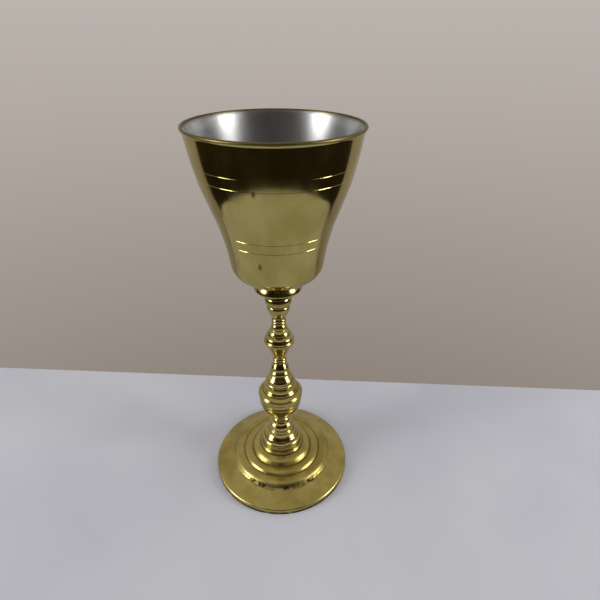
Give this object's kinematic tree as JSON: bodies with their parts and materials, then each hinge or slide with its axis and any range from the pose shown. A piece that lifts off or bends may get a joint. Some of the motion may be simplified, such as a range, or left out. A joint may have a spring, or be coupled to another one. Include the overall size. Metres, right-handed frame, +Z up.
{
  "type": "ciborium",
  "caption": "Tall open ciborium of turned brass: a flared cup with a silver-coloured lining on a stem of turned knops and beads, on a stepped round base.",
  "frame": {"origin": "centre of the base's resting face", "axes": "+Z up along the axis of the vessel, from the base to the cup's rim; the vessel is round, so X and Y are free"},
  "size_m": [0.1396, 0.1396, 0.3499],
  "materials": {
    "satin_brass": "satin, lacquered, lightly spun",
    "polished_brass": "polished, with dark patina in the grooves",
    "plain_brass": "plain turned",
    "silver_plate": "satin silver plate on sheet brass",
    "steel": "plain turned steel"
  },
  "bodies": {
    "stand": {"base_dish": "satin_brass", "foot_flange": "polished_brass", "foot_bell": "polished_brass", "lower_baluster": "polished_brass", "knop_lower_half": "polished_brass", "knop_upper_half": "polished_brass", "knop_seat": "polished_brass", "middle_baluster": "polished_brass", "upper_knop": "polished_brass", "upper_baluster": "polished_brass", "stem_ferrule": "polished_brass", "tie_rod": "steel", "spreader_washer": "plain_brass"},
    "collar": {"cup_collar": "polished_brass"},
    "cup": {"cup_shell": "satin_brass", "cup_liner": "silver_plate", "cup_boss": "plain_brass"},
    "washer": {"lock_washer": "steel"},
    "nut": {"base_nut": "steel"}
  },
  "joints": [
    {"name": "collar_turn", "type": "hinge", "parent": "stand", "child": "collar", "pos_m": [0, 0, 0.2153], "axis": [0, 0, 1], "range_deg": [0, 2880]},
    {"name": "cup_lift", "type": "slide", "parent": "collar", "child": "cup", "axis": [0, 0, 1], "range_m": [0, 0.008]},
    {"name": "washer_drop", "type": "slide", "parent": "stand", "child": "washer", "axis": [0, 0, -1], "range_m": [0, 0.009]},
    {"name": "nut_turn", "type": "hinge", "parent": "washer", "child": "nut", "pos_m": [0, 0, 0.0195], "axis": [0, 0, -1], "range_deg": [0, 3240]}
  ],
  "couplings": [
    {"joint": "collar_turn", "follows": "cup_lift", "rad_per_m": 6283.2},
    {"joint": "nut_turn", "follows": "washer_drop", "rad_per_m": 6283.2}
  ]
}
